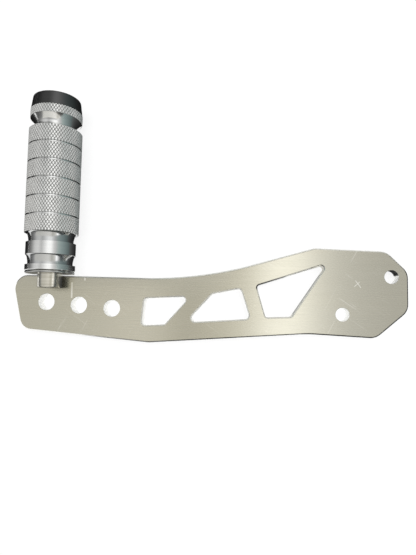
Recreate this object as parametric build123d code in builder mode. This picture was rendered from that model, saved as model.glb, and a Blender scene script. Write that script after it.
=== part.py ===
"""A shift lock peg: a flat steel arm with a knurled peg lying at its end.

The arm plate lies on its back and the peg lies beside it, its spigot reaching over the plate's
corner. All sizes are in millimetres. The origin is on the axis of the first peg hole, where it
meets the surface that both lie on. +X runs along the arm, +Y along the peg to its cap, +Z up.
"""

import os
from math import cos, radians, sin

from build123d import *

os.makedirs("parts", exist_ok=True)

# Arm plate
plate_thickness = 6.35
plate_edge_break = 0.6
arm_reach = 176.3  # from the first peg hole to the plate's right end
peg_hole_diameter = 8.4
peg_hole_count = 3
peg_hole_pitch = 17.05
peg_hole_slope = -4.5  # degrees, along the row
fixing_hole_diameter = 6.5

# Outline of the arm, counter-clockwise corners before they are rounded
left_end_top = (-19.2, 13.7)
left_end_bottom = (-12.8, -13.9)
belly = (53.0, -19.1)
dip = (arm_reach - 98.9, 12.2)
rise = (arm_reach - 46.4, -13.1)
heel = (arm_reach - 14.9, -14.4)
right_end_bottom = (arm_reach, -1.3)
right_end_top = (arm_reach, 17.0)
shoulder_corner = (arm_reach - 9.8, 26.7)
crest = (arm_reach - 43.3, 28.1)
left_top_radius = 7.0
left_bottom_radius = 6.5
belly_radius = 10.0
rise_radius = 60.0
right_end_radius = 7.0
crest_radius = 5.0
dip_radius = 200.0

# Windows, counter-clockwise corners before they are rounded
window_1 = ((49.2, -10.8), (60.7, -10.1), (73.2, 3.9), (50.3, 2.6))
window_2 = ((71.3, -8.8), (102.6, -6.5), (97.9, 8.2), (84.1, 5.3))
window_3 = ((110.1, -5.6), (122.2, -5.1), (139.4, 20.7), (105.6, 9.6))
window_1_radius = 1.7
window_2_radius = 1.9
window_3_radius = 1.3

# Fixing holes at the right end
upper_fixing_hole = (arm_reach - 7.6, 14.6)
lower_fixing_hole = (arm_reach - 30.2, -3.5)

# Spindle: bare spigot with a tapped hole, and the axle that carries the sleeve
axle_diameter = 10.0
spigot_shoulder = 0.75  # the spigot's step over the axle, on the radius
spigot_length = 6.8
spigot_chamfer = 0.5
spigot_thread_diameter = 6.8  # tapping size of an M8 thread
spigot_thread_depth = 14.0

# Bushes in the sleeve
bush_wall = 2.0
bush_length = 12.0
bush_clearance = 0.05  # running fit on the axle, on the radius
seat_clearance = 0.02  # press fit, on the radius
bore_clearance = 1.0  # sleeve bore round the axle between the bushes, on the radius

# Washers and screw
thrust_washer_thickness = 1.0
thrust_washer_step = 0.15  # below the sleeve's base, on the radius
end_float = 0.2
washer_clearance = 0.1  # round the axle or the screw, on the radius
retaining_washer_thickness = 1.5
retaining_washer_overlap = 0.2  # over the bush's end, on the radius
retaining_washer_side_gap = 0.8  # to the counterbore's wall
screw_diameter = 5.0
screw_clearance = 0.02  # shank in its tapped hole, on the radius
screw_length = 13.5
screw_hole_spare = 2.0  # below the screw's end
screw_head_diameter = 9.5
screw_head_height = 2.75
screw_head_chamfer = 0.8
screw_socket_width = 3.0
screw_socket_depth = 1.6
screw_head_clearance = 1.05  # to the cap's plug

# Peg sleeve, lengths from its base to its cap end
grip_diameter = 25.4
end_land_length = 2.8
lower_cove_length = 4.9
land_length = 6.0
upper_cove_length = 4.8
grip_length = 51.1
shoulder_length = 1.7
waist_length = 4.3
band_length = 4.0
land_step = 0.95  # below the grip, on the radius
neck_step = 0.6  # below the grip, on the radius
band_step = 0.3  # below the grip, on the radius
cove_depth = 1.2
flare_length = 2.2  # each base cove's rise to the step above it
waist_wall = 1.6  # over the counterbore
waist_flare_length = 2.9  # the waist's rise to the end band
groove_count = 5
groove_pitch = 8.7
groove_width = 0.65
groove_depth = 0.6

# End cap
cap_height = 6.8
cap_step = 0.1  # below the sleeve's end band, on the radius
cap_taper = 0.8  # from base to top, on the radius
cap_edge_break = 0.6
cap_plug_length = 3.5
cap_seat_clearance = 0.05

# Where the peg lies
peg_x = 4.34
peg_to_plate_gap = 0.2
spigot_to_plate_gap = 0.2  # least height of the spigot over the plate

# Radii that follow from the sizes
axle_radius = axle_diameter / 2
spigot_radius = axle_radius + spigot_shoulder
bush_radius = axle_radius + bush_wall
bush_pocket_radius = bush_radius + seat_clearance
sleeve_bore_radius = axle_radius + bore_clearance
retaining_washer_radius = bush_radius + retaining_washer_overlap
counterbore_radius = retaining_washer_radius + retaining_washer_side_gap
waist_radius = counterbore_radius + waist_wall
grip_radius = grip_diameter / 2
land_radius = grip_radius - land_step
cove_radius = land_radius - cove_depth
neck_radius = grip_radius - neck_step
band_radius = grip_radius - band_step
thrust_washer_radius = land_radius - thrust_washer_step
cap_base_radius = band_radius - cap_step
cap_top_radius = cap_base_radius - cap_taper
cap_plug_radius = counterbore_radius - cap_seat_clearance

# Along the peg's axis, zero at the spigot's shoulder
sleeve_start = thrust_washer_thickness + end_float
lower_cove_start = sleeve_start + end_land_length
land_start = lower_cove_start + lower_cove_length
upper_cove_start = land_start + land_length
grip_start = upper_cove_start + upper_cove_length
grip_end = grip_start + grip_length
waist_start = grip_end + shoulder_length
band_start = waist_start + waist_length
sleeve_end = band_start + band_length
plug_end = sleeve_end - cap_plug_length
screw_head_end = plug_end - screw_head_clearance
screw_head_start = screw_head_end - screw_head_height
axle_end = screw_head_start - retaining_washer_thickness
counterbore_start = axle_end - end_float
inner_bush_end = sleeve_start + bush_length
outer_bush_start = counterbore_start - bush_length
screw_end = screw_head_start - screw_length

# The peg rests on its grip, or higher where its spigot would meet the plate
peg_height = max(grip_radius, plate_thickness + spigot_to_plate_gap + spigot_radius)
top_edge_slope = (dip[1] - left_end_top[1]) / (dip[0] - left_end_top[0])
peg_left_side = peg_x - land_radius
plate_edge_at_peg = left_end_top[1] + top_edge_slope * (peg_left_side - left_end_top[0])
shoulder_y = plate_edge_at_peg + peg_to_plate_gap

peg_plane = Plane(origin=(peg_x, shoulder_y, peg_height), x_dir=(0, 1, 0), z_dir=(1, 0, 0))
peg_axis = Axis((peg_x, shoulder_y, peg_height), (0, 1, 0))


def peg_cross_plane(distance):
    """Plane across the peg, the given distance from the spigot's shoulder, facing the cap."""
    return Plane(
        origin=(peg_x, shoulder_y + distance, peg_height), x_dir=(1, 0, 0), z_dir=(0, 1, 0)
    )


# Arm plate
peg_holes = [
    (
        index * peg_hole_pitch * cos(radians(peg_hole_slope)),
        index * peg_hole_pitch * sin(radians(peg_hole_slope)),
    )
    for index in range(peg_hole_count)
]
windows = [
    (window_1, window_1_radius),
    (window_2, window_2_radius),
    (window_3, window_3_radius),
]
with BuildPart() as arm_plate:
    with BuildSketch(Plane.XY):
        with BuildLine():
            FilletPolyline(
                left_end_top,
                left_end_bottom,
                belly,
                rise,
                heel,
                right_end_bottom,
                right_end_top,
                shoulder_corner,
                crest,
                dip,
                radius=[
                    left_top_radius,
                    left_bottom_radius,
                    belly_radius,
                    rise_radius,
                    right_end_radius,
                    right_end_radius,
                    right_end_radius,
                    right_end_radius,
                    crest_radius,
                    dip_radius,
                ],
                close=True,
            )
        make_face()
    extrude(amount=plate_thickness)
    for corners, corner_radius in windows:
        with BuildSketch(Plane.XY):
            with BuildLine():
                FilletPolyline(*corners, radius=corner_radius, close=True)
            make_face()
        extrude(amount=plate_thickness, mode=Mode.SUBTRACT)
    flat_faces = arm_plate.faces().filter_by(Axis.Z)
    chamfer(flat_faces.edges(), length=plate_edge_break)
    with BuildSketch(Plane.XY):
        with Locations(*peg_holes):
            Circle(peg_hole_diameter / 2)
        with Locations(upper_fixing_hole, lower_fixing_hole):
            Circle(fixing_hole_diameter / 2)
    extrude(amount=plate_thickness, mode=Mode.SUBTRACT)
arm_plate.part.label = "arm_plate"
export_step(arm_plate.part, "parts/arm_plate.step")

# Peg sleeve, turned from one bar: two coves and a waist that flare to the step above them
with BuildPart() as peg_sleeve:
    with BuildSketch(peg_plane):
        with BuildLine():
            Polyline(
                (sleeve_start, bush_pocket_radius),
                (sleeve_start, land_radius),
                (lower_cove_start, land_radius),
                (lower_cove_start, cove_radius),
                (land_start - flare_length, cove_radius),
                (land_start, land_radius),
                (upper_cove_start, land_radius),
                (upper_cove_start, cove_radius),
                (grip_start - flare_length, cove_radius),
                (grip_start, neck_radius),
                (grip_start, grip_radius),
                (grip_end, grip_radius),
                (waist_start, waist_radius),
                (band_start - waist_flare_length, waist_radius),
                (band_start, band_radius),
                (sleeve_end, band_radius),
                (sleeve_end, counterbore_radius),
                (counterbore_start, counterbore_radius),
                (counterbore_start, bush_pocket_radius),
                (outer_bush_start, bush_pocket_radius),
                (outer_bush_start, sleeve_bore_radius),
                (inner_bush_end, sleeve_bore_radius),
                (inner_bush_end, bush_pocket_radius),
                (sleeve_start, bush_pocket_radius),
            )
        make_face()
    revolve(axis=peg_axis)
    first_groove = (grip_start + grip_end) / 2 - (groove_count - 1) / 2 * groove_pitch
    groove_places = [
        (first_groove + index * groove_pitch, grip_radius) for index in range(groove_count)
    ]
    with BuildSketch(peg_plane):
        with Locations(*groove_places):
            Rectangle(groove_width, 2 * groove_depth)
    revolve(axis=peg_axis, mode=Mode.SUBTRACT)
peg_sleeve.part.label = "peg_sleeve"
export_step(peg_sleeve.part, "parts/peg_sleeve.step")

# Plain bushes, one pressed into each end of the sleeve
with BuildPart() as inner_bush:
    with BuildSketch(peg_cross_plane(sleeve_start)):
        Circle(bush_radius)
        Circle(axle_radius + bush_clearance, mode=Mode.SUBTRACT)
    extrude(amount=bush_length)
inner_bush.part.label = "inner_bush"
export_step(inner_bush.part, "parts/inner_bush.step")

with BuildPart() as outer_bush:
    with BuildSketch(peg_cross_plane(outer_bush_start)):
        Circle(bush_radius)
        Circle(axle_radius + bush_clearance, mode=Mode.SUBTRACT)
    extrude(amount=bush_length)
outer_bush.part.label = "outer_bush"
export_step(outer_bush.part, "parts/outer_bush.step")

# Spindle: the bare spigot, its shoulder and the axle inside the sleeve
screw_hole_depth = axle_end - screw_end + screw_hole_spare
with BuildPart() as peg_spindle:
    with BuildSketch(peg_plane):
        with BuildLine():
            Polyline(
                (-spigot_length, 0),
                (-spigot_length, spigot_radius - spigot_chamfer),
                (-spigot_length + spigot_chamfer, spigot_radius),
                (0, spigot_radius),
                (0, axle_radius),
                (axle_end, axle_radius),
                (axle_end, 0),
                (-spigot_length, 0),
            )
        make_face()
    revolve(axis=peg_axis)
    with BuildSketch(peg_cross_plane(-spigot_length)):
        Circle(spigot_thread_diameter / 2)
    extrude(amount=spigot_thread_depth, mode=Mode.SUBTRACT)
    with BuildSketch(peg_cross_plane(axle_end)):
        Circle(screw_diameter / 2 + screw_clearance)
    extrude(amount=-screw_hole_depth, mode=Mode.SUBTRACT)
peg_spindle.part.label = "peg_spindle"
export_step(peg_spindle.part, "parts/peg_spindle.step")

# Thrust washer between the spigot's shoulder and the sleeve
with BuildPart() as thrust_washer:
    with BuildSketch(peg_cross_plane(0)):
        Circle(thrust_washer_radius)
        Circle(axle_radius + washer_clearance, mode=Mode.SUBTRACT)
    extrude(amount=thrust_washer_thickness)
thrust_washer.part.label = "thrust_washer"
export_step(thrust_washer.part, "parts/thrust_washer.step")

# Retaining washer and screw on the axle's outer end
with BuildPart() as retaining_washer:
    with BuildSketch(peg_cross_plane(axle_end)):
        Circle(retaining_washer_radius)
        Circle(screw_diameter / 2 + washer_clearance, mode=Mode.SUBTRACT)
    extrude(amount=retaining_washer_thickness)
retaining_washer.part.label = "retaining_washer"
export_step(retaining_washer.part, "parts/retaining_washer.step")

head_radius = screw_head_diameter / 2
with BuildPart() as retaining_screw:
    with BuildSketch(peg_plane):
        with BuildLine():
            Polyline(
                (screw_head_end, 0),
                (screw_head_end, head_radius - screw_head_chamfer),
                (screw_head_end - screw_head_chamfer, head_radius),
                (screw_head_start, head_radius),
                (screw_head_start, screw_diameter / 2),
                (screw_end, screw_diameter / 2),
                (screw_end, 0),
                (screw_head_end, 0),
            )
        make_face()
    revolve(axis=peg_axis)
    with BuildSketch(peg_cross_plane(screw_head_end)):
        RegularPolygon(screw_socket_width / 2, 6, major_radius=False)
    extrude(amount=-screw_socket_depth, mode=Mode.SUBTRACT)
retaining_screw.part.label = "retaining_screw"
export_step(retaining_screw.part, "parts/retaining_screw.step")

# End cap, its plug pressed into the sleeve's counterbore
with BuildPart() as end_cap:
    with BuildSketch(peg_plane):
        with BuildLine():
            Polyline(
                (plug_end, 0),
                (plug_end, cap_plug_radius),
                (sleeve_end, cap_plug_radius),
                (sleeve_end, cap_base_radius),
                (sleeve_end + cap_height, cap_top_radius),
                (sleeve_end + cap_height, 0),
                (plug_end, 0),
            )
        make_face()
    revolve(axis=peg_axis)
    cap_rim = end_cap.faces().sort_by(Axis.Y)[-1].edges()
    chamfer(cap_rim, length=cap_edge_break)
end_cap.part.label = "end_cap"
export_step(end_cap.part, "parts/end_cap.step")
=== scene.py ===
"""A shift lock peg: a brushed steel arm plate and a knurled peg beside it, on a pale floor."""

from math import ceil, cos, pi, radians, sin

import bpy
from mathutils import Matrix, Vector


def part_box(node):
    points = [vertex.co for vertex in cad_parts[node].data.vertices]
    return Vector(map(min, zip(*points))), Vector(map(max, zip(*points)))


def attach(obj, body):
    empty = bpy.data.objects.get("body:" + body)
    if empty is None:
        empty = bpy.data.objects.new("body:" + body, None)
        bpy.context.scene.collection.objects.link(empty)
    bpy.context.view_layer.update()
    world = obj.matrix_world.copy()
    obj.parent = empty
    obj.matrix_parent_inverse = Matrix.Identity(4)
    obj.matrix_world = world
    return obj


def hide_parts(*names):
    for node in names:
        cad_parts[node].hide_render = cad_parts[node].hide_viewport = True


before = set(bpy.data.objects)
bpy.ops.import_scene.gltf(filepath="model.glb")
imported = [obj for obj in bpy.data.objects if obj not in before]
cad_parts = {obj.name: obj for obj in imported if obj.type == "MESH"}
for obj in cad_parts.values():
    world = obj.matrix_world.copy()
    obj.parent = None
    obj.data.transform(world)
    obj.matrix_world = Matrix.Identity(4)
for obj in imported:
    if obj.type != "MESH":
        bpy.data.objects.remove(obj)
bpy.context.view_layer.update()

MM = 0.001

# Points nearer to each other than this are one
MERGE = 0.001 * MM

# Places read from the frame
sleeve_low, sleeve_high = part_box("peg_sleeve")
washer_low, washer_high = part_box("thrust_washer")
spindle_low, spindle_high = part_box("peg_spindle")
cap_low, cap_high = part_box("end_cap")
AXIS_X = (sleeve_low.x + sleeve_high.x) / 2
AXIS_Z = (sleeve_low.z + sleeve_high.z) / 2
SLEEVE_START = sleeve_low.y
SLEEVE_END = sleeve_high.y
WASHER_START = washer_low.y
WASHER_END = washer_high.y
WASHER_RADIUS = (washer_high.x - washer_low.x) / 2
SPIGOT_START = spindle_low.y
SPIGOT_RADIUS = (spindle_high.x - spindle_low.x) / 2
AXLE_END = spindle_high.y
CAP_END = cap_high.y
CAP_RADIUS = (cap_high.x - cap_low.x) / 2

# Sleeve, lengths from its base to its cap end
BOX_MARGIN = 0.01 * MM  # keeps the knurl's tops inside the frame's piece
GRIP_RADIUS = (sleeve_high.x - sleeve_low.x) / 2 - BOX_MARGIN
END_LAND = 2.8 * MM
LOWER_COVE = 4.9 * MM
LAND = 6.0 * MM
UPPER_COVE = 4.8 * MM
GRIP_LENGTH = 51.1 * MM
SHOULDER = 1.7 * MM
WAIST = 4.3 * MM
WAIST_FLARE = 3.4 * MM
WAIST_CURVE = 1.35
LAND_RADIUS = GRIP_RADIUS - 0.95 * MM
NECK_RADIUS = GRIP_RADIUS - 0.6 * MM
COVE_RADIUS = LAND_RADIUS - 1.2 * MM
BAND_RADIUS = GRIP_RADIUS - 0.3 * MM
WAIST_RADIUS = 9.6 * MM
SLEEVE_BORE = 7.02 * MM
COUNTERBORE = 8.0 * MM
COUNTERBORE_DEPTH = 9.0 * MM
EDGE_BREAK = 0.25 * MM

lower_cove_start = SLEEVE_START + END_LAND
land_start = lower_cove_start + LOWER_COVE
upper_cove_start = land_start + LAND
grip_start = upper_cove_start + UPPER_COVE
grip_end = grip_start + GRIP_LENGTH
waist_start = grip_end + SHOULDER
band_start = waist_start + WAIST

# Knurl and grooves
GROOVE_COUNT = 5
GROOVE_PITCH = 8.7 * MM
GROOVE_WIDTH = 0.8 * MM
GROOVE_FLOOR = GRIP_RADIUS - 0.6 * MM
KNURL_AROUND = 55
KNURL_HEIGHT = 2.2 * MM
KNURL_DEPTH = 0.26 * MM
KNURL_FLAT = 0.6  # a diamond's flat top, as a share of its foot
FLAT_MERGE = 0.01 * MM  # the merging distance of the pattern laid out flat
ROLLED_MERGE = 0.02 * MM  # and of the pattern rolled up
RIM_SINK = 0.1 * MM  # how far a band's rims go below the groove floor
CORE_SINK = 0.1 * MM  # how far the core ends below the end band's foot
GROOVE_CORNER = 0.05 * MM  # the groove floor starts and stops this far inside the grip

# Spindle and washer
AXLE_RADIUS = 5.0 * MM
THREAD_RADIUS = 4.0 * MM
THREAD_PITCH = 1.25 * MM
THREAD_CREST = 3.4 * MM
THREAD_DEPTH = 14.0 * MM
THREAD_MOUTH = 0.45 * MM
THREAD_TIP = 0.068 * MM  # radius of the hairline along the axis, past the threaded hole
SPIGOT_CHAMFER = 0.5 * MM
CHAMFER_BEND = (0.3, 0.35)  # where the chamfer bends, as shares of it along and across
SPINDLE_STEPS = 96
WASHER_EDGE = 0.2 * MM
WASHER_PLAY = 0.1 * MM

# Cap
CAP_TAPER = 0.8 * MM
CAP_ROUND = 0.6 * MM
CAP_EDGE = 0.15 * MM
CAP_CENTRE = 0.05 * MM  # radius of the hairline along the axis
CAP_PLUG_RADIUS = 7.95 * MM
CAP_PLUG_LENGTH = 3.5 * MM
CAP_SMOOTH_ANGLE = 35

TURN_STEPS = 128
CURVE_POINTS = 8
ROUND_POINTS = 4
SMOOTH_ANGLE = 30

# Plate
PLATE_MERGE = 0.002 * MM
PLATE_FLAT_ANGLE = 1  # faces that meet at less than this many degrees are one
PLATE_EDGE_ANGLE = 32
PLATE_SMOOTH_ANGLE = 40
PLATE_EDGE_ROUND = 0.08 * MM

# Marks on the plate: where each starts and ends, and its width. The first is a painted glint line,
# the next two are crossing scratches, and the last is a painted glint dot
PLATE_SCRATCHES_AND_GLINTS = (
    ((13.1 * MM, 2.5 * MM, 0), (13.0 * MM, 9.6 * MM, 0), 0.55 * MM),
    ((152.2 * MM, 12.6 * MM, 0), (154.6 * MM, 9.4 * MM, 0), 0.22 * MM),
    ((154.0 * MM, 12.0 * MM, 0), (151.6 * MM, 9.8 * MM, 0), 0.2 * MM),
    ((19.5 * MM, 13.2 * MM, 0), (19.7 * MM, 11.4 * MM, 0), 0.55 * MM),
)

# Painted shade: the dark line along the third window's upper left edge, and a dark crescent on
# the upper fixing hole's wall
EDGE_SHADE_LINE = ((104.5 * MM, 8.9 * MM, 0), (119.0 * MM, 13.0 * MM, 0), 1.6 * MM)
HOLE_SHADE_PLACE = (169.2 * MM, 18.3 * MM, 0)
HOLE_SHADE_REACH = (3.6 * MM, 4.1 * MM)

# Where the plate is open: the windows, the row of peg holes and the two fixing holes, each as a
# line and how far its openings reach from it
WINDOWS = ((52 * MM, -3 * MM, 0), (128 * MM, 8 * MM, 0), 11.2 * MM)
HOLES = (
    ((0, 0, 0), (34 * MM, -2.7 * MM, 0), 6 * MM),
    ((146.1 * MM, -3.5 * MM, 0), (146.2 * MM, -3.5 * MM, 0), 5 * MM),
    ((168.7 * MM, 14.6 * MM, 0), (168.8 * MM, 14.6 * MM, 0), 5 * MM),
)


def deselect():
    """Leaves nothing selected, in object mode."""
    if bpy.context.object and bpy.context.object.mode != "OBJECT":
        bpy.ops.object.mode_set(mode="OBJECT")
    bpy.ops.object.select_all(action="DESELECT")


def make_active(piece):
    """Selects one piece alone and makes it active."""
    deselect()
    piece.select_set(True)
    bpy.context.view_layer.objects.active = piece


def apply_place(piece):
    """Moves a piece's place, turn and scale into its mesh."""
    make_active(piece)
    bpy.ops.object.transform_apply(location=True, rotation=True, scale=True)


def apply_modifiers(piece):
    """Applies every modifier of a piece, in order."""
    make_active(piece)
    for modifier in list(piece.modifiers):
        bpy.ops.object.modifier_apply(modifier=modifier.name)


def join(first, others, name):
    """Joins pieces into the first one and names it."""
    make_active(first)
    for other in others:
        other.select_set(True)
    bpy.ops.object.join()
    first.name = name
    first.data.name = name
    return first


def smooth(piece, angle=SMOOTH_ANGLE):
    """Shades a piece smooth, with sharp edges past the angle in degrees."""
    make_active(piece)
    bpy.ops.object.shade_smooth_by_angle(angle=radians(angle))


def turned(name, profile, steps=TURN_STEPS):
    """A turned piece on the peg's axis: a ring drawn out through (y, radius) points and closed."""
    deselect()
    first_y, first_radius = profile[0]
    bpy.ops.mesh.primitive_circle_add(
        vertices=steps,
        radius=first_radius,
        location=(AXIS_X, first_y, AXIS_Z),
        rotation=(radians(90), 0, 0),
    )
    piece = bpy.context.object
    piece.name = name
    piece.data.name = name
    apply_place(piece)
    bpy.ops.object.mode_set(mode="EDIT")
    bpy.ops.mesh.select_all(action="SELECT")
    y, radius = first_y, first_radius
    for next_y, next_radius in profile[1:] + profile[:1]:
        bpy.ops.mesh.extrude_edges_move(TRANSFORM_OT_translate={"value": (0, next_y - y, 0)})
        share = next_radius / radius
        bpy.ops.transform.resize(
            value=(share, 1, share), center_override=(AXIS_X, next_y, AXIS_Z)
        )
        y, radius = next_y, next_radius
    bpy.ops.mesh.select_all(action="SELECT")
    bpy.ops.mesh.remove_doubles(threshold=MERGE)
    bpy.ops.mesh.normals_make_consistent(inside=False)
    bpy.ops.object.mode_set(mode="OBJECT")
    return piece


def cove(start, length, low_radius, high_radius, points=CURVE_POINTS):
    """Points of a quarter ellipse: along the axis where it starts, steep where it ends."""
    return [
        (
            start + length * sin(index / points * pi / 2),
            high_radius - (high_radius - low_radius) * cos(index / points * pi / 2),
        )
        for index in range(points + 1)
    ]


def rounded_edge(y, radius, size, points=ROUND_POINTS):
    """Points of a round from a cylinder of the radius to the flat face at y, seen along +Y."""
    return [
        (
            y - size + size * sin(index / points * pi / 2),
            radius - size + size * cos(index / points * pi / 2),
        )
        for index in range(points + 1)
    ]


def knurled_band(name, start, end, radius, around):
    """A ring of flat-topped diamonds from start to end, its walls sunk in the core below."""
    width = 2 * pi * radius / around
    rows = ceil((end - start) / KNURL_HEIGHT) + 1
    deselect()
    bpy.ops.mesh.primitive_circle_add(vertices=4, radius=1, fill_type="NGON")
    band = bpy.context.object
    band.name = name
    band.data.name = name
    bpy.ops.object.mode_set(mode="EDIT")
    bpy.ops.mesh.select_all(action="SELECT")
    bpy.ops.transform.resize(value=(width / 2, KNURL_HEIGHT / 2, 1))
    bpy.ops.mesh.extrude_region_move(TRANSFORM_OT_translate={"value": (0, 0, KNURL_DEPTH)})
    bpy.ops.transform.resize(
        value=(KNURL_FLAT, KNURL_FLAT, 1), center_override=(0, 0, KNURL_DEPTH)
    )
    bpy.ops.object.mode_set(mode="OBJECT")
    # The second diamond, half a step over and half a step up
    bpy.ops.object.duplicate_move(
        TRANSFORM_OT_translate={"value": (width / 2, KNURL_HEIGHT / 2, 0)}
    )
    second = bpy.context.object
    join(band, [second], name)
    for label, count, step in (
        ("around", around, (width, 0, 0)),
        ("along", rows, (0, KNURL_HEIGHT, 0)),
    ):
        array = band.modifiers.new(label, "ARRAY")
        array.count = count
        array.use_relative_offset = False
        array.use_constant_offset = True
        array.constant_offset_displace = step
    apply_modifiers(band)
    bpy.ops.object.mode_set(mode="EDIT")
    bpy.ops.mesh.select_all(action="SELECT")
    bpy.ops.mesh.remove_doubles(threshold=FLAT_MERGE)
    first_row = (start + end) / 2 - rows * KNURL_HEIGHT / 2
    bpy.ops.transform.translate(value=(0, first_row, 0))
    for place, normal in ((start, (0, -1, 0)), (end, (0, 1, 0))):
        bpy.ops.mesh.select_all(action="SELECT")
        bpy.ops.mesh.bisect(plane_co=(0, place, 0), plane_no=normal, clear_outer=True)
    bpy.ops.object.mode_set(mode="OBJECT")
    # Rolled up round the axis
    valley = radius - KNURL_DEPTH
    for vertex in band.data.vertices:
        angle = vertex.co.x / radius
        reach = valley + vertex.co.z
        vertex.co.x = AXIS_X + reach * sin(angle)
        vertex.co.z = AXIS_Z + reach * cos(angle)
    bpy.ops.object.mode_set(mode="EDIT")
    bpy.ops.mesh.select_all(action="SELECT")
    bpy.ops.mesh.remove_doubles(threshold=ROLLED_MERGE)
    # The open rims go straight down to below the groove floor
    bpy.ops.mesh.select_all(action="DESELECT")
    bpy.ops.mesh.select_mode(type="EDGE")
    bpy.ops.mesh.select_non_manifold()
    bpy.ops.mesh.extrude_edges_move()
    share = (GROOVE_FLOOR - RIM_SINK) / (radius - KNURL_DEPTH / 2)
    bpy.ops.transform.resize(value=(share, 1, share), center_override=(AXIS_X, start, AXIS_Z))
    bpy.ops.mesh.select_all(action="SELECT")
    bpy.ops.mesh.normals_make_consistent(inside=False)
    bpy.ops.object.mode_set(mode="OBJECT")
    return band


# The camera of the photograph
CAMERA_PLACE = (100.69 * MM, -0.65 * MM, 209.47 * MM)
CAMERA_TURN = radians(0.719)
CAMERA_PITCH = radians(4.0)
CAMERA_LEAN = radians(5.236)
FOCAL_PIXELS = 417.22
PICTURE_HEIGHT = 555
SENSOR = 36.0


def add_camera():
    """The camera, above the arm and looking down."""
    data = bpy.data.cameras.new("camera")
    data.sensor_width = SENSOR
    data.lens = FOCAL_PIXELS / PICTURE_HEIGHT * SENSOR
    data.clip_start = 10 * MM
    data.clip_end = 20
    camera = bpy.data.objects.new("camera", data)
    bpy.context.scene.collection.objects.link(camera)
    turn = Matrix.Rotation(CAMERA_TURN, 4, "Z")
    pitch = Matrix.Rotation(CAMERA_PITCH, 4, "X")
    lean = Matrix.Rotation(CAMERA_LEAN, 4, "Y")
    camera.matrix_world = Matrix.Translation(CAMERA_PLACE) @ turn @ pitch @ lean
    bpy.context.scene.camera = camera


def grey(level):
    """An opaque grey."""
    return (level, level, level, 1)


class Nodes:
    """A short way to add and link the nodes of one tree."""

    def __init__(self, tree):
        self.tree = tree

    def add(self, kind, **values):
        """Adds a node and sets its properties."""
        node = self.tree.nodes.new(kind)
        for key, value in values.items():
            setattr(node, key, value)
        return node

    def put(self, target, value):
        """Sets an input to a value, or links it to an output."""
        if isinstance(value, bpy.types.NodeSocket):
            self.tree.links.new(value, target)
        else:
            target.default_value = value

    def math(self, operation, first, second=0.0):
        """A Math node's output."""
        node = self.add("ShaderNodeMath", operation=operation)
        self.put(node.inputs[0], first)
        self.put(node.inputs[1], second)
        return node.outputs[0]

    def vector(self, operation, first, second=(0, 0, 0)):
        """A Vector Math node's output, a number where the operation gives one."""
        node = self.add("ShaderNodeVectorMath", operation=operation)
        self.put(node.inputs[0], first)
        self.put(node.inputs[1], second)
        number = operation in ("DOT_PRODUCT", "LENGTH", "DISTANCE")
        return node.outputs["Value" if number else "Vector"]

    def mix(self, factor, first, second):
        """A colour Mix node's output: the first colour at 0, the second at 1."""
        node = self.add("ShaderNodeMixRGB")
        self.put(node.inputs["Fac"], factor)
        self.put(node.inputs["Color1"], first)
        self.put(node.inputs["Color2"], second)
        return node.outputs["Color"]

    def spread(self, value, low, high, to_low=0.0, to_high=1.0):
        """A clamped Map Range node's output."""
        node = self.add("ShaderNodeMapRange")
        for name, part in zip(
            ("Value", "From Min", "From Max", "To Min", "To Max"),
            (value, low, high, to_low, to_high),
        ):
            self.put(node.inputs[name], part)
        return node.outputs[0]

    def ramp(self, value, stops):
        """A colour through stops of (value, grey or colour), level past both ends."""
        low, high = stops[0][0], stops[-1][0]
        node = self.add("ShaderNodeValToRGB")
        self.put(node.inputs[0], self.spread(value, low, high))
        elements = node.color_ramp.elements
        for place, colour in stops:
            share = (place - low) / (high - low)
            if place == low:
                element = elements[0]
            elif place == high:
                element = elements[len(elements) - 1]
            else:
                element = elements.new(share)
            element.position = share
            element.color = (*colour, 1) if isinstance(colour, tuple) else grey(colour)
        return node.outputs["Color"]

    def noise(self, vector, scale, detail=2.0, rough=0.5):
        """A Noise texture's output."""
        node = self.add("ShaderNodeTexNoise")
        self.put(node.inputs["Vector"], vector)
        node.inputs["Scale"].default_value = scale
        node.inputs["Detail"].default_value = detail
        node.inputs["Roughness"].default_value = rough
        return node.outputs["Fac"]

    def stretched(self, vector, scale, turn=(0, 0, 0)):
        """Coordinates turned and scaled by a Mapping node."""
        node = self.add("ShaderNodeMapping")
        self.put(node.inputs["Vector"], vector)
        node.inputs["Scale"].default_value = scale
        node.inputs["Rotation"].default_value = turn
        return node.outputs[0]

    def bump(self, height, distance, strength=1.0, normal=None):
        """A Bump node's output; the height runs from 0 to 1."""
        node = self.add("ShaderNodeBump")
        self.put(node.inputs["Height"], height)
        node.inputs["Distance"].default_value = distance
        node.inputs["Strength"].default_value = strength
        if normal is not None:
            self.put(node.inputs["Normal"], normal)
        return node.outputs[0]


def new_group(name, inputs, outputs):
    """An empty shader node group with named sockets, and its nodes."""
    tree = bpy.data.node_groups.new(name, "ShaderNodeTree")
    for label, kind, value in inputs:
        socket = tree.interface.new_socket(label, in_out="INPUT", socket_type=kind)
        if value is not None:
            socket.default_value = value
    for label, kind in outputs:
        tree.interface.new_socket(label, in_out="OUTPUT", socket_type=kind)
    nodes = Nodes(tree)
    return tree, nodes, nodes.add("NodeGroupInput").outputs, nodes.add("NodeGroupOutput").inputs


def place_group(nodes, tree, **values):
    """Places a group in a material; names use _ for a space."""
    node = nodes.add("ShaderNodeGroup", node_tree=tree)
    for name, value in values.items():
        nodes.put(node.inputs[name.replace("_", " ")], value)
    return node.outputs


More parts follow.
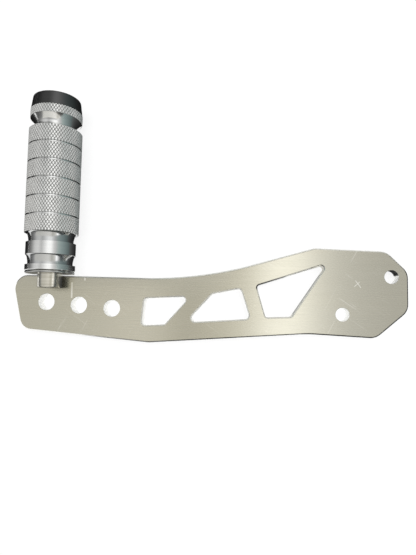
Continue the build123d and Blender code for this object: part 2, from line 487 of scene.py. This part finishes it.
def straight_grain_group():
    """Fine and coarse lines of a brushed face, stretched along one axis, and soft clouds."""
    tree, nodes, given, out = new_group(
        "straight_grain",
        [("Vector", "NodeSocketVector", None)],
        [("Fine", "NodeSocketFloat"), ("Coarse", "NodeSocketFloat"), ("Cloud", "NodeSocketFloat")],
    )
    for name, stretch, scale, detail, rough in (
        ("Fine", 0.02, 4200, 2.0, 0.6),
        ("Coarse", 0.03, 900, 3.0, 0.6),
        ("Cloud", 0.5, 45, 3.0, 0.55),
    ):
        lines = nodes.stretched(given["Vector"], (stretch, 1, 1))
        nodes.put(out[name], nodes.noise(lines, scale, detail, rough))
    return tree


def turning_lines_group():
    """Rings left by a lathe tool round the peg's axis: noise of the place along it and from it."""
    tree, nodes, given, out = new_group(
        "turning_lines",
        [("Vector", "NodeSocketVector", None)],
        [("Lines", "NodeSocketFloat"), ("Broad", "NodeSocketFloat"), ("Radius", "NodeSocketFloat")],
    )
    parts = nodes.add("ShaderNodeSeparateXYZ")
    nodes.put(parts.inputs[0], given["Vector"])
    across = nodes.math("SUBTRACT", parts.outputs["X"], AXIS_X)
    up = nodes.math("SUBTRACT", parts.outputs["Z"], AXIS_Z)
    squares = [nodes.math("MULTIPLY", side, side) for side in (across, up)]
    radius = nodes.math("SQRT", nodes.math("ADD", *squares))
    place = nodes.add("ShaderNodeCombineXYZ")
    nodes.put(place.inputs["X"], parts.outputs["Y"])
    nodes.put(place.inputs["Y"], radius)
    nodes.put(out["Lines"], nodes.noise(place.outputs[0], 5000, 2.0, 0.6))
    nodes.put(out["Broad"], nodes.noise(place.outputs[0], 900, 2.0, 0.5))
    nodes.put(out["Radius"], radius)
    return tree


def scratches_group():
    """Sparse hairline scratches in two directions, as a mask."""
    tree, nodes, given, out = new_group(
        "hairline_scratches",
        [("Vector", "NodeSocketVector", None), ("Amount", "NodeSocketFloat", 0.5)],
        [("Mask", "NodeSocketFloat")],
    )
    total = None
    for angle, scale in ((35, 160), (-62, 120)):
        turned_place = nodes.stretched(given["Vector"], (1, 1, 1), (0, 0, radians(angle)))
        lines = nodes.noise(nodes.stretched(turned_place, (0.05, 4, 1)), scale, 1.0)
        from_middle = nodes.math("ABSOLUTE", nodes.math("SUBTRACT", lines, 0.5))
        line = nodes.spread(from_middle, 0, 0.006, 1, 0)
        patch = nodes.spread(nodes.noise(given["Vector"], scale / 2, 1.0), 0.58, 0.66)
        mark = nodes.math("MULTIPLY", line, patch)
        total = mark if total is None else nodes.math("MAXIMUM", total, mark)
    nodes.put(out["Mask"], nodes.math("MULTIPLY", total, given["Amount"]))
    return tree


def line_mark_group():
    """A mark from one point to another, seen from above and soft at its sides, as a mask."""
    tree, nodes, given, out = new_group(
        "line_mark",
        [
            ("Vector", "NodeSocketVector", None),
            ("From", "NodeSocketVector", None),
            ("To", "NodeSocketVector", None),
            ("Width", "NodeSocketFloat", 0.0002),
        ],
        [("Mask", "NodeSocketFloat")],
    )
    flat = nodes.vector("MULTIPLY", given["Vector"], (1, 1, 0))
    away = nodes.vector("SUBTRACT", flat, given["From"])
    line = nodes.vector("SUBTRACT", given["To"], given["From"])
    along = nodes.math(
        "DIVIDE", nodes.vector("DOT_PRODUCT", away, line), nodes.vector("DOT_PRODUCT", line, line)
    )
    foot = nodes.add("ShaderNodeVectorMath", operation="SCALE")
    nodes.put(foot.inputs[0], line)
    nodes.put(foot.inputs["Scale"], nodes.spread(along, 0, 1))
    beside = nodes.vector("LENGTH", nodes.vector("SUBTRACT", away, foot.outputs[0]))
    share = nodes.math("DIVIDE", beside, given["Width"])
    nodes.put(out["Mask"], nodes.spread(share, 0.4, 1, 1, 0))
    return tree


GRAIN = straight_grain_group()
TURNING = turning_lines_group()
SCRATCHES = scratches_group()
LINE_MARK = line_mark_group()

# Where most values of a noise lie
NOISE = (0.3, 0.7)


def new_material(name):
    """A node material with its helper, its shader and its Object coordinates."""
    material = bpy.data.materials.new(name)
    material.use_nodes = True
    nodes = Nodes(material.node_tree)
    shader = material.node_tree.nodes["Principled BSDF"].inputs
    place = nodes.add("ShaderNodeTexCoord").outputs["Object"]
    return material, nodes, shader, place


def near_line(nodes, place, start, end, width):
    """1 on a line of the plate, fading to 0 at the width."""
    return place_group(nodes, LINE_MARK, Vector=place, From=start, To=end, Width=width)["Mask"]


def near_openings(nodes, place, start, end, reach):
    """1 nearer to a line of the plate than the reach, 0 further out."""
    return nodes.spread(near_line(nodes, place, start, end, reach), 0, 0.05)


# The plate's colours and roughnesses
STREAK_DARK = (0.605, 0.58, 0.478, 1)
STREAK_LIGHT = (0.645, 0.62, 0.517, 1)
FACE_CLOUD = (0.62, 0.60, 0.505, 1)
SCRATCH_AND_GLINT = (0.98, 0.96, 0.88, 1)
BROKEN_EDGE = (0.95, 0.94, 0.89, 1)
# Painted shade of a window edge
EDGE_SHADE_TONE = (0.03, 0.028, 0.025, 1)
OUTER_WALL = (0.56, 0.545, 0.48, 1)
# Painted light on the walls of the openings, and painted shade on back-facing window walls
INNER_WALL_LIGHT = (0.98, 0.98, 0.96, 1)
BACK_WALL_SHADE = (0.36, 0.36, 0.34, 1)
FACE_ROUGH = (0.21, 0.30)
EDGE_ROUGH = (0.13, 0.7)
WALL_ROUGH = (0.38, 0.6)
# Roughness of the painted shade in the fixing hole
HOLE_SHADE_ROUGH = 0.95


def brushed_plate_steel():
    """Stainless sheet, brushed along the arm, with bright edges and cut walls, and painted light
    and shade.
    """
    material, nodes, shader, place = new_material("brushed_plate_steel")
    grain = place_group(nodes, GRAIN, Vector=place)
    marks = place_group(nodes, SCRATCHES, Vector=place, Amount=0.5)["Mask"]
    for mark in PLATE_SCRATCHES_AND_GLINTS:
        marks = nodes.math("MAXIMUM", marks, near_line(nodes, place, *mark))
    streaks = nodes.mix(nodes.spread(grain["Coarse"], *NOISE), STREAK_DARK, STREAK_LIGHT)
    face = nodes.mix(nodes.spread(grain["Cloud"], 0.35, 0.65), streaks, FACE_CLOUD)
    # Scratches, and the painted glints, are near white
    face = nodes.mix(marks, face, SCRATCH_AND_GLINT)
    # How far a face is turned from the plate's two flat faces
    way = nodes.add("ShaderNodeSeparateXYZ")
    nodes.put(way.inputs[0], nodes.add("ShaderNodeTexCoord").outputs["Normal"])
    up = nodes.math("ABSOLUTE", way.outputs["Z"])
    edge = nodes.spread(up, 0.8, 0.97, 1, 0)
    wall = nodes.spread(up, 0.2, 0.5, 1, 0)
    # Painted shade: a dark crescent on one side of the upper fixing hole's wall
    to_hole_shade = nodes.vector("DISTANCE", nodes.vector("MULTIPLY", place, (1, 1, 0)), HOLE_SHADE_PLACE)
    hole_shade = nodes.math("MULTIPLY", wall, nodes.spread(to_hole_shade, *HOLE_SHADE_REACH, 1, 0))
    windows = near_openings(nodes, place, *WINDOWS)
    opening = windows
    for hole in HOLES:
        opening = nodes.math("MAXIMUM", opening, near_openings(nodes, place, *hole))
    # Painted shade: window walls that face back along the arm are grey. Painted light: the walls
    # of the openings are near white
    back = nodes.math("MULTIPLY", windows, nodes.spread(way.outputs["X"], -0.6, -0.3, 1, 0))
    wall_tone = nodes.mix(back, nodes.mix(opening, OUTER_WALL, INNER_WALL_LIGHT), BACK_WALL_SHADE)
    cut = nodes.mix(wall, BROKEN_EDGE, wall_tone)
    # Painted shade: a dark line on the broken edge, and faint on the wall below it
    edge_shade = near_line(nodes, place, *EDGE_SHADE_LINE)
    edge_shade = nodes.math("MULTIPLY", edge_shade, nodes.spread(wall, 0, 1, 1, 0.35))
    cut = nodes.mix(hole_shade, nodes.mix(edge_shade, cut, EDGE_SHADE_TONE), grey(0.015))
    nodes.put(shader["Base Color"], nodes.mix(edge, face, cut))
    nodes.put(shader["Metallic"], nodes.math("SUBTRACT", 1, hole_shade))
    # The edges of the windows and the far side's edge are duller than the near one
    dull = nodes.math("MAXIMUM", windows, nodes.spread(way.outputs["Y"], 0.25, 0.5))
    brushed = nodes.spread(grain["Fine"], *NOISE, *FACE_ROUGH)
    rough = nodes.spread(edge, 0, 1, brushed, nodes.spread(dull, 0, 1, *EDGE_ROUGH))
    rough = nodes.spread(wall, 0, 1, rough, nodes.spread(opening, 0, 1, *WALL_ROUGH))
    nodes.put(shader["Roughness"], nodes.spread(hole_shade, 0, 1, rough, HOLE_SHADE_ROUGH))
    on_face = nodes.math("SUBTRACT", 1, edge)
    fine = nodes.bump(nodes.math("MULTIPLY", grain["Fine"], on_face), 0.012 * MM, 0.8)
    nodes.put(shader["Normal"], nodes.bump(grain["Coarse"], 0.02 * MM, 0.5, fine))
    return material


# The sleeve's colours
POLISH_DARK = (0.83, 0.84, 0.83, 1)
POLISH_LIGHT = (0.90, 0.90, 0.88, 1)
# Painted shade of the coves
COVE_SHADE = (0.64, 0.65, 0.65, 1)
KNURL_TOP_DARK = (0.90, 0.90, 0.88, 1)
KNURL_TOP_LIGHT = (0.97, 0.97, 0.95, 1)
KNURL_VALLEY_SHADE = (0.03, 0.03, 0.029, 1)
GROOVE_TONE = (0.86, 0.87, 0.87, 1)
METAL_SHARE = 0.55  # of the knurl, whose fine tool marks scatter much of the light

# Radii between which a cove turns from its painted shade to bright, and heights over the knurl's
# foot between which a valley turns to a top and a groove's wall to the knurl
COVE_SIDES = (LAND_RADIUS - 0.3 * MM, LAND_RADIUS - 0.1 * MM)
VALLEY_SIDES = (0.02 * MM, 0.13 * MM)
GROOVE_SIDES = (-0.05 * MM, -0.02 * MM)


def polished_alloy():
    """Turned and polished aluminium of the lands, coves and waist."""
    material, nodes, shader, place = new_material("polished_alloy")
    turning = place_group(nodes, TURNING, Vector=place)
    bright = nodes.mix(nodes.spread(turning["Broad"], *NOISE), POLISH_DARK, POLISH_LIGHT)
    # Painted shade: the two coves are a little darker than the lands
    low = nodes.spread(turning["Radius"], *COVE_SIDES, 1, 0)
    parts = nodes.add("ShaderNodeSeparateXYZ")
    nodes.put(parts.inputs[0], place)
    at_base = nodes.math("LESS_THAN", parts.outputs["Y"], grip_start)
    tone = nodes.mix(nodes.math("MULTIPLY", low, at_base), bright, COVE_SHADE)
    nodes.put(shader["Base Color"], tone)
    shader["Metallic"].default_value = 1
    nodes.put(shader["Roughness"], nodes.spread(turning["Lines"], *NOISE, 0.10, 0.18))
    nodes.put(shader["Normal"], nodes.bump(turning["Lines"], 0.004 * MM, 0.6))
    return material


def knurled_alloy(name, radius):
    """Aluminium of a diamond knurl cut to the radius: bright worn tops, valleys dark with painted
    shade.
    """
    material, nodes, shader, place = new_material(name)
    turning = place_group(nodes, TURNING, Vector=place)
    blotch = nodes.spread(nodes.noise(place, 260, 3.0), 0.35, 0.65)
    top = nodes.mix(blotch, KNURL_TOP_DARK, KNURL_TOP_LIGHT)
    foot = radius - KNURL_DEPTH
    height = nodes.spread(turning["Radius"], *(foot + side for side in VALLEY_SIDES))
    # Painted shade: the valleys between the diamonds are near black
    knurl = nodes.mix(height, KNURL_VALLEY_SHADE, top)
    # Below the knurl's foot are the plain walls of the grooves
    in_groove = nodes.spread(turning["Radius"], *(foot + side for side in GROOVE_SIDES), 1, 0)
    nodes.put(shader["Base Color"], nodes.mix(in_groove, knurl, GROOVE_TONE))
    nodes.put(shader["Metallic"], nodes.spread(in_groove, 0, 1, METAL_SHARE, 1))
    nodes.put(shader["Roughness"], nodes.spread(blotch, 0, 1, 0.22, 0.32))
    grit = nodes.noise(place, 5200, 2.0)
    nodes.put(shader["Normal"], nodes.bump(grit, 0.01 * MM, 0.5))
    return material


# Turned steels: the dark and the light colour of the rings, the least and the most roughness
SPIGOT_STEEL = ((0.58, 0.56, 0.49, 1), (0.74, 0.72, 0.65, 1), 0.16, 0.24)
WASHER_STEEL = ((0.40, 0.40, 0.38, 1), (0.56, 0.56, 0.54, 1), 0.14, 0.22)
INNER_WASHER_STEEL = ((0.60, 0.60, 0.58, 1), (0.74, 0.74, 0.72, 1), 0.25, 0.35)
SCREW_STEEL = (grey(0.30), grey(0.42), 0.3, 0.45)


def turned_steel(name, dark, light, rough_low, rough_high):
    """Stainless steel with the fine rings of turning."""
    material, nodes, shader, place = new_material(name)
    turning = place_group(nodes, TURNING, Vector=place)
    nodes.put(shader["Base Color"], nodes.mix(nodes.spread(turning["Broad"], *NOISE), dark, light))
    shader["Metallic"].default_value = 1
    nodes.put(shader["Roughness"], nodes.spread(turning["Lines"], *NOISE, rough_low, rough_high))
    nodes.put(shader["Normal"], nodes.bump(turning["Lines"], 0.008 * MM, 0.7))
    return material


CAP_BLACK = grey(0.004)
CAP_DUST = (0.010, 0.010, 0.0095, 1)
CAP_GLOSS = 2.1  # index of refraction, for the strong sheen of the cap


def black_cap():
    """Satin black cap with faint moulding texture and a little dust."""
    material, nodes, shader, place = new_material("satin_black")
    dust = nodes.spread(nodes.noise(place, 700, 4.0, 0.6), 0.5, 0.8)
    nodes.put(shader["Base Color"], nodes.mix(dust, CAP_BLACK, CAP_DUST))
    shader["IOR"].default_value = CAP_GLOSS
    nodes.put(shader["Roughness"], nodes.spread(dust, 0, 1, 0.34, 0.42))
    nodes.put(shader["Normal"], nodes.bump(nodes.noise(place, 6000, 2.0), 0.01 * MM, 0.5))
    return material


BRONZE_PORE = (0.22, 0.13, 0.05, 1)
BRONZE = (0.52, 0.34, 0.15, 1)


def bush_bronze():
    """Sintered bronze with small pores."""
    material, nodes, shader, place = new_material("sintered_bronze")
    solid = nodes.spread(nodes.noise(place, 3000, 2.0), 0.35, 0.5)
    nodes.put(shader["Base Color"], nodes.mix(solid, BRONZE_PORE, BRONZE))
    shader["Metallic"].default_value = 1
    nodes.put(shader["Roughness"], nodes.spread(solid, 0, 1, 0.6, 0.4))
    nodes.put(shader["Normal"], nodes.bump(solid, 0.02 * MM, 0.6))
    return material


FLOOR_SIZE = 3
FLOOR_GLOW = 0.80
FLOOR_TONES = (grey(0.27), grey(0.29))


def floor_white():
    """A tabletop that is white to the camera and in reflections, and still takes the shadow."""
    material, nodes, shader, place = new_material("white_tabletop")
    tree = material.node_tree
    tone = nodes.spread(nodes.noise(place, 6, 2.0), *NOISE)
    nodes.put(shader["Base Color"], nodes.mix(tone, *FLOOR_TONES))
    shader["Roughness"].default_value = 0.9
    shader["Specular IOR Level"].default_value = 0.1
    path = nodes.add("ShaderNodeLightPath").outputs
    seen = nodes.math("MAXIMUM", path["Is Camera Ray"], path["Is Transmission Ray"])
    seen = nodes.math("MAXIMUM", seen, path["Is Glossy Ray"])
    glow = nodes.add("ShaderNodeEmission")
    nodes.put(glow.inputs["Strength"], nodes.math("MULTIPLY", seen, FLOOR_GLOW))
    both = nodes.add("ShaderNodeAddShader")
    nodes.put(both.inputs[0], tree.nodes["Principled BSDF"].outputs[0])
    nodes.put(both.inputs[1], glow.outputs[0])
    nodes.put(tree.nodes["Material Output"].inputs["Surface"], both.outputs[0])
    return material


def make_plate():
    """The arm plate with its broken edges rounded over."""
    deselect()
    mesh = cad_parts["arm_plate"].data.copy()
    plate = bpy.data.objects.new("brushed_plate", mesh)
    bpy.context.scene.collection.objects.link(plate)
    mesh.name = "brushed_plate"
    mesh.materials.clear()
    make_active(plate)
    bpy.ops.object.mode_set(mode="EDIT")
    bpy.ops.mesh.select_all(action="SELECT")
    bpy.ops.mesh.remove_doubles(threshold=PLATE_MERGE)
    bpy.ops.mesh.dissolve_limited(angle_limit=radians(PLATE_FLAT_ANGLE))
    bpy.ops.object.mode_set(mode="OBJECT")
    edges = plate.modifiers.new("edges", "BEVEL")
    edges.width = PLATE_EDGE_ROUND
    edges.segments = 2
    edges.limit_method = "ANGLE"
    edges.angle_limit = radians(PLATE_EDGE_ANGLE)
    faces = plate.modifiers.new("faces", "WEIGHTED_NORMAL")
    faces.keep_sharp = True
    smooth(plate, PLATE_SMOOTH_ANGLE)
    apply_modifiers(plate)
    plate.data.materials.append(brushed_plate_steel())
    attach(plate, "arm")
    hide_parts("arm_plate")


def make_sleeve():
    """The sleeve: a turned core with coves and a waist, and six knurled bands and an end band."""
    # The waist's flare, a shallow hollow curve up to the end band
    rise = BAND_RADIUS - KNURL_DEPTH - WAIST_RADIUS
    shares = [index / CURVE_POINTS for index in range(1, CURVE_POINTS + 1)]
    waist_flare = [
        (band_start - WAIST_FLARE * (1 - share), WAIST_RADIUS + rise * share**WAIST_CURVE)
        for share in shares
    ]
    profile = (
        [
            (SLEEVE_END - COUNTERBORE_DEPTH, SLEEVE_BORE),
            (SLEEVE_START, SLEEVE_BORE),
            (SLEEVE_START, LAND_RADIUS - EDGE_BREAK),
            (SLEEVE_START + EDGE_BREAK, LAND_RADIUS),
            (lower_cove_start, LAND_RADIUS),
        ]
        + cove(lower_cove_start, LOWER_COVE, COVE_RADIUS, LAND_RADIUS)
        + [(upper_cove_start, LAND_RADIUS)]
        + cove(upper_cove_start, UPPER_COVE, COVE_RADIUS, NECK_RADIUS)
        + [
            (grip_start + GROOVE_CORNER, GROOVE_FLOOR),
            (grip_end - GROOVE_CORNER, GROOVE_FLOOR),
            (grip_end, GROOVE_FLOOR),
            (waist_start, WAIST_RADIUS),
            (band_start - WAIST_FLARE, WAIST_RADIUS),
        ]
        + waist_flare
        + [
            (SLEEVE_END, BAND_RADIUS - KNURL_DEPTH - CORE_SINK),
            (SLEEVE_END, COUNTERBORE),
            (SLEEVE_END - COUNTERBORE_DEPTH, COUNTERBORE),
        ]
    )
    core = turned("sleeve_core", profile)
    core.data.materials.append(polished_alloy())
    smooth(core)
    # Where the grip's knurled bands start and end, between the grooves
    edges = [grip_start]
    first_groove = (grip_start + grip_end) / 2 - (GROOVE_COUNT - 1) / 2 * GROOVE_PITCH
    for index in range(GROOVE_COUNT):
        groove = first_groove + index * GROOVE_PITCH
        edges += [groove - GROOVE_WIDTH / 2, groove + GROOVE_WIDTH / 2]
    edges.append(grip_end)
    bands = [
        knurled_band(f"grip_band_{index}", low, high, GRIP_RADIUS, KNURL_AROUND)
        for index, (low, high) in enumerate(zip(edges[0::2], edges[1::2]))
    ]
    grip_knurl = knurled_alloy("grip_knurl", GRIP_RADIUS)
    for band in bands:
        band.data.materials.append(grip_knurl)
    end_band = knurled_band("end_band", band_start, SLEEVE_END, BAND_RADIUS, KNURL_AROUND)
    end_band.data.materials.append(knurled_alloy("end_knurl", BAND_RADIUS))
    bands.append(end_band)
    sleeve = join(core, bands, "knurled_sleeve")
    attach(sleeve, "sleeve")
    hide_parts("peg_sleeve")


def make_spindle():
    """The spindle: its bare spigot with a threaded hole, and the axle inside the sleeve."""
    thread_end = SPIGOT_START + THREAD_DEPTH
    thread = []
    for index in range(int(THREAD_DEPTH / THREAD_PITCH)):
        start = thread_end - index * THREAD_PITCH
        thread += [(start, THREAD_CREST), (start - THREAD_PITCH / 2, THREAD_RADIUS)]
    along, across = CHAMFER_BEND
    profile = (
        [(thread_end, THREAD_TIP)]
        + thread
        + [
            (SPIGOT_START, THREAD_CREST + THREAD_MOUTH),
            (SPIGOT_START, SPIGOT_RADIUS - SPIGOT_CHAMFER),
            (SPIGOT_START + SPIGOT_CHAMFER * along, SPIGOT_RADIUS - SPIGOT_CHAMFER * across),
            (SPIGOT_START + SPIGOT_CHAMFER, SPIGOT_RADIUS),
            (WASHER_START, SPIGOT_RADIUS),
            (WASHER_START, AXLE_RADIUS),
            (AXLE_END, AXLE_RADIUS),
            (AXLE_END, THREAD_TIP),
        ]
    )
    spindle = turned("turned_spindle", profile, SPINDLE_STEPS)
    smooth(spindle)
    spindle.data.materials.append(turned_steel("spigot_steel", *SPIGOT_STEEL))
    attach(spindle, "arm")
    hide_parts("peg_spindle")


def make_washer():
    """The thrust washer, its edges broken."""
    hole = AXLE_RADIUS + WASHER_PLAY
    profile = [
        (WASHER_START, hole),
        (WASHER_START, WASHER_RADIUS - WASHER_EDGE),
        (WASHER_START + WASHER_EDGE, WASHER_RADIUS),
        (WASHER_END - WASHER_EDGE, WASHER_RADIUS),
        (WASHER_END, WASHER_RADIUS - WASHER_EDGE),
        (WASHER_END, hole),
    ]
    washer = turned("bright_washer", profile)
    smooth(washer)
    washer.data.materials.append(turned_steel("washer_steel", *WASHER_STEEL))
    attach(washer, "arm")
    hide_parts("thrust_washer")


def make_cap():
    """The black cap: a short cone with a rounded rim, and its plug."""
    rim_radius = CAP_RADIUS - CAP_TAPER
    profile = (
        [
            (SLEEVE_END - CAP_PLUG_LENGTH, CAP_CENTRE),
            (SLEEVE_END - CAP_PLUG_LENGTH, CAP_PLUG_RADIUS),
            (SLEEVE_END, CAP_PLUG_RADIUS),
            (SLEEVE_END, CAP_RADIUS - CAP_EDGE),
            (SLEEVE_END + CAP_EDGE, CAP_RADIUS),
        ]
        + rounded_edge(CAP_END, rim_radius, CAP_ROUND)
        + [(CAP_END, rim_radius - CAP_ROUND - CAP_EDGE), (CAP_END, CAP_CENTRE)]
    )
    cap = turned("black_cap", profile)
    smooth(cap, CAP_SMOOTH_ANGLE)
    cap.data.materials.append(black_cap())
    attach(cap, "sleeve")
    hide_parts("end_cap")


def dress_inner_nodes():
    """Materials of the four nodes inside the sleeve that are shown as the frame has them."""
    bronze = bush_bronze()
    screw = turned_steel("screw_steel", *SCREW_STEEL)
    inner_washer = turned_steel("inner_washer_steel", *INNER_WASHER_STEEL)
    chosen = {
        "inner_bush": bronze,
        "outer_bush": bronze,
        "retaining_washer": inner_washer,
        "retaining_screw": screw,
    }
    for name, material in chosen.items():
        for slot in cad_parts[name].material_slots:
            slot.material = material


# Light
LAMP_PLACE = (0.25, 0.15, 0.9)
LAMP_SIZE = (0.9, 0.9)
LAMP_RADIANCE = 1.6

# Brightness of the room round the peg, by the angle in degrees from straight up toward +X
ROOM = (
    (-90, 0.08),
    (-70, 0.26),
    (-51, 0.58),
    (-34, 0.66),
    (-18, 0.50),
    (-3, 0.74),
    (11, 1.0),
    (25, 1.0),
    (39, 0.64),
    (54, (0.34, 0.37, 0.36)),
    (68, (0.16, 0.18, 0.18)),
    (90, (0.08, 0.09, 0.09)),
)
ROOM_LEVEL = 1.08

# Share of it that is left, by a direction's part along Y: less and less toward the near side
ROOM_SHADE = ((-0.93, 0.05), (-0.84, 0.35), (-0.60, 0.55), (-0.20, 1.0))

# Beyond the cap its contrast grows, over these parts along Y, up to this power
ROOM_NARROWS = (0.12, 0.55)
ROOM_CONTRAST = 2.8

# Along the peg's own line it turns to an even grey, over these parts along Y
ROOM_ENDS = (0.65, 0.9)
ROOM_END_TONE = (0.30, 0.30, 0.29, 1)

# The panel over the arm, in two parts that each have a start, an end and a far side, and its
# brightness by the place along X in metres
PANEL_HEIGHT = 100 * MM
PANEL_NEAR = -80 * MM
PANEL_PARTS = (
    ("panel_start", -120 * MM, 90 * MM, 17.5 * MM),
    ("panel", 90 * MM, 235 * MM, 75 * MM),
)
PANEL = (
    (-0.100, (0.42, 0.415, 0.395)),
    (-0.055, (0.43, 0.425, 0.405)),
    (-0.026, (0.45, 0.445, 0.425)),
    (0.0, (0.50, 0.49, 0.47)),
    (0.030, (0.56, 0.55, 0.53)),
    (0.045, (0.47, 0.46, 0.43)),
    (0.056, (0.36, 0.35, 0.325)),
    (0.078, (0.455, 0.445, 0.415)),
    (0.100, (0.56, 0.55, 0.52)),
    (0.112, 0.84),
    (0.122, 0.98),
    (0.134, 1.0),
    (0.146, 0.73),
    (0.160, 0.51),
    (0.180, 0.44),
    (0.200, 0.385),
    (0.235, 0.38),
)
PANEL_LEVEL = 1.6

# Cards: two corners, and the brightness by the place in metres along X, or along Z where upright
ON_FLOOR = 0.4 * MM
ON_PLATE = 6.38 * MM
LEFT_CARD = (
    (-600 * MM, 13 * MM, ON_FLOOR),
    (-10 * MM, 400 * MM, ON_FLOOR),
    ((-0.40, 0.07), (-0.12, 0.05), (-0.03, 0.01), (-0.010, 0.01)),
)
RIGHT_CARD = (
    (14.5 * MM, 15 * MM, ON_FLOOR),
    (50 * MM, 400 * MM, ON_FLOOR),
    ((0.0145, 0.01), (0.026, 0.04), (0.05, (0.12, 0.13, 0.13))),
)
SIDE_CARD = (
    (50 * MM, 16.5 * MM, 0),
    (50 * MM, 400 * MM, 95 * MM),
    (
        (0.0, (0.10, 0.13, 0.13)),
        (0.030, (0.25, 0.31, 0.31)),
        (0.045, (0.36, 0.42, 0.41)),
        (0.060, 0.54),
        (0.0755, 0.70),
        (0.095, 0.95),
    ),
)
END_CARD = (
    (178 * MM, -200 * MM, ON_FLOOR),
    (600 * MM, 60 * MM, ON_FLOOR),
    ((0.178, 0.02), (0.60, 0.02)),
)
# Painted shade round the spigot, just above the plate
SPIGOT_SHADE_CARD = (
    (-12 * MM, 4.5 * MM, ON_PLATE),
    (36 * MM, 12.5 * MM, ON_PLATE),
    ((-0.012, 0.08), (0.011, 0.05), (0.022, 0.14), (0.036, 0.34)),
)
FRONT_CARD = (
    (0, -1200 * MM, ON_FLOOR),
    (600 * MM, -45 * MM, ON_FLOOR),
    ((0.0, 0.3), (0.08, 0.01)),
)


def softbox(name, place, size, radiance):
    """A lamp that faces down, as bright as the radiance, and lights dull surfaces only."""
    data = bpy.data.lights.new(name, "AREA")
    data.shape = "RECTANGLE"
    data.size, data.size_y = size
    data.energy = radiance * pi * size[0] * size[1]
    lamp = bpy.data.objects.new(name, data)
    lamp.location = place
    lamp.visible_glossy = False
    lamp.visible_camera = False
    bpy.context.scene.collection.objects.link(lamp)


def make_floor():
    """The white tabletop."""
    deselect()
    bpy.ops.mesh.primitive_plane_add(size=FLOOR_SIZE, location=(AXIS_X, SLEEVE_START, 0))
    floor = bpy.context.object
    floor.name = "floor"
    apply_place(floor)
    floor.data.materials.append(floor_white())


def card(name, low, high, stops, level=1.0, axis="X", from_above=False):
    """A flat card seen only in reflections, its brightness given by stops along an axis.

    With from_above, rays that come from below pass through it.
    """
    deselect()
    size = Vector(high) - Vector(low)
    upright = size.x == 0
    bpy.ops.mesh.primitive_plane_add(
        size=1,
        location=(Vector(low) + Vector(high)) / 2,
        rotation=(0, radians(90) if upright else 0, 0),
    )
    sheet = bpy.context.object
    sheet.name = name
    sheet.data.name = name
    sheet.scale = (size.z if upright else size.x, size.y, 1)
    apply_place(sheet)
    sheet.visible_camera = False
    sheet.visible_diffuse = False
    sheet.visible_shadow = False
    sheet.visible_transmission = False
    material = bpy.data.materials.new(name)
    material.use_nodes = True
    nodes = Nodes(material.node_tree)
    parts = nodes.add("ShaderNodeSeparateXYZ")
    nodes.put(parts.inputs[0], nodes.add("ShaderNodeTexCoord").outputs["Object"])
    glow = nodes.add("ShaderNodeEmission")
    nodes.put(glow.inputs["Color"], nodes.ramp(parts.outputs[axis], stops))
    glow.inputs["Strength"].default_value = level
    surface = glow.outputs[0]
    if from_above:
        sides = nodes.add("ShaderNodeMixShader")
        nodes.put(sides.inputs[0], nodes.add("ShaderNodeNewGeometry").outputs["Backfacing"])
        nodes.put(sides.inputs[1], glow.outputs[0])
        nodes.put(sides.inputs[2], nodes.add("ShaderNodeBsdfTransparent").outputs[0])
        surface = sides.outputs[0]
    output = material.node_tree.nodes["Material Output"]
    nodes.put(output.inputs["Surface"], surface)
    sheet.data.materials.append(material)


def add_cards():
    """Cards that give the polished sides their dark edges and the arm its bright middle."""
    card("left_card", *LEFT_CARD)
    card("right_card", *RIGHT_CARD)
    card("side_card", *SIDE_CARD, axis="Z")
    card("end_card", *END_CARD)
    # Painted shade: a dark sheet just above the plate round the spigot, where the spigot would
    # else mirror the bright plate
    card("spigot_shade_card", *SPIGOT_SHADE_CARD, from_above=True)
    card("front_card", *FRONT_CARD)
    for name, start, end, far in PANEL_PARTS:
        low = (start, PANEL_NEAR, PANEL_HEIGHT)
        card(name, low, (end, far, PANEL_HEIGHT), PANEL, PANEL_LEVEL)


def add_light():
    """Soft studio light: a lamp from above, and a room that is bright over the peg."""
    softbox("overhead", LAMP_PLACE, LAMP_SIZE, LAMP_RADIANCE)
    world = bpy.data.worlds.new("studio")
    world.use_nodes = True
    nodes = Nodes(world.node_tree)
    way = nodes.add("ShaderNodeSeparateXYZ")
    nodes.put(way.inputs[0], nodes.add("ShaderNodeTexCoord").outputs["Generated"])
    angle = nodes.math("ARCTAN2", way.outputs["X"], way.outputs["Z"])
    degrees = nodes.math("MULTIPLY", angle, 180 / pi)
    background = world.node_tree.nodes["Background"].inputs
    # Its bright middle is narrower beyond the cap
    contrast = nodes.spread(way.outputs["Y"], *ROOM_NARROWS, 1, ROOM_CONTRAST)
    narrow = nodes.add("ShaderNodeGamma")
    nodes.put(narrow.inputs["Color"], nodes.ramp(degrees, ROOM))
    nodes.put(narrow.inputs["Gamma"], contrast)
    # Along the peg's own line it is an even grey, and to the camera it is white
    ends = nodes.spread(nodes.math("ABSOLUTE", way.outputs["Y"]), *ROOM_ENDS)
    room = nodes.mix(ends, narrow.outputs[0], ROOM_END_TONE)
    seen = nodes.add("ShaderNodeLightPath").outputs["Is Camera Ray"]
    nodes.put(background["Color"], nodes.mix(seen, room, grey(1)))
    level = nodes.math("MULTIPLY", nodes.ramp(way.outputs["Y"], ROOM_SHADE), ROOM_LEVEL)
    nodes.put(background["Strength"], nodes.math("MAXIMUM", level, seen))
    bpy.context.scene.world = world


add_camera()
make_plate()
make_sleeve()
make_spindle()
make_washer()
make_cap()
dress_inner_nodes()
make_floor()
add_cards()
add_light()
bpy.context.scene.view_settings.view_transform = "Standard"
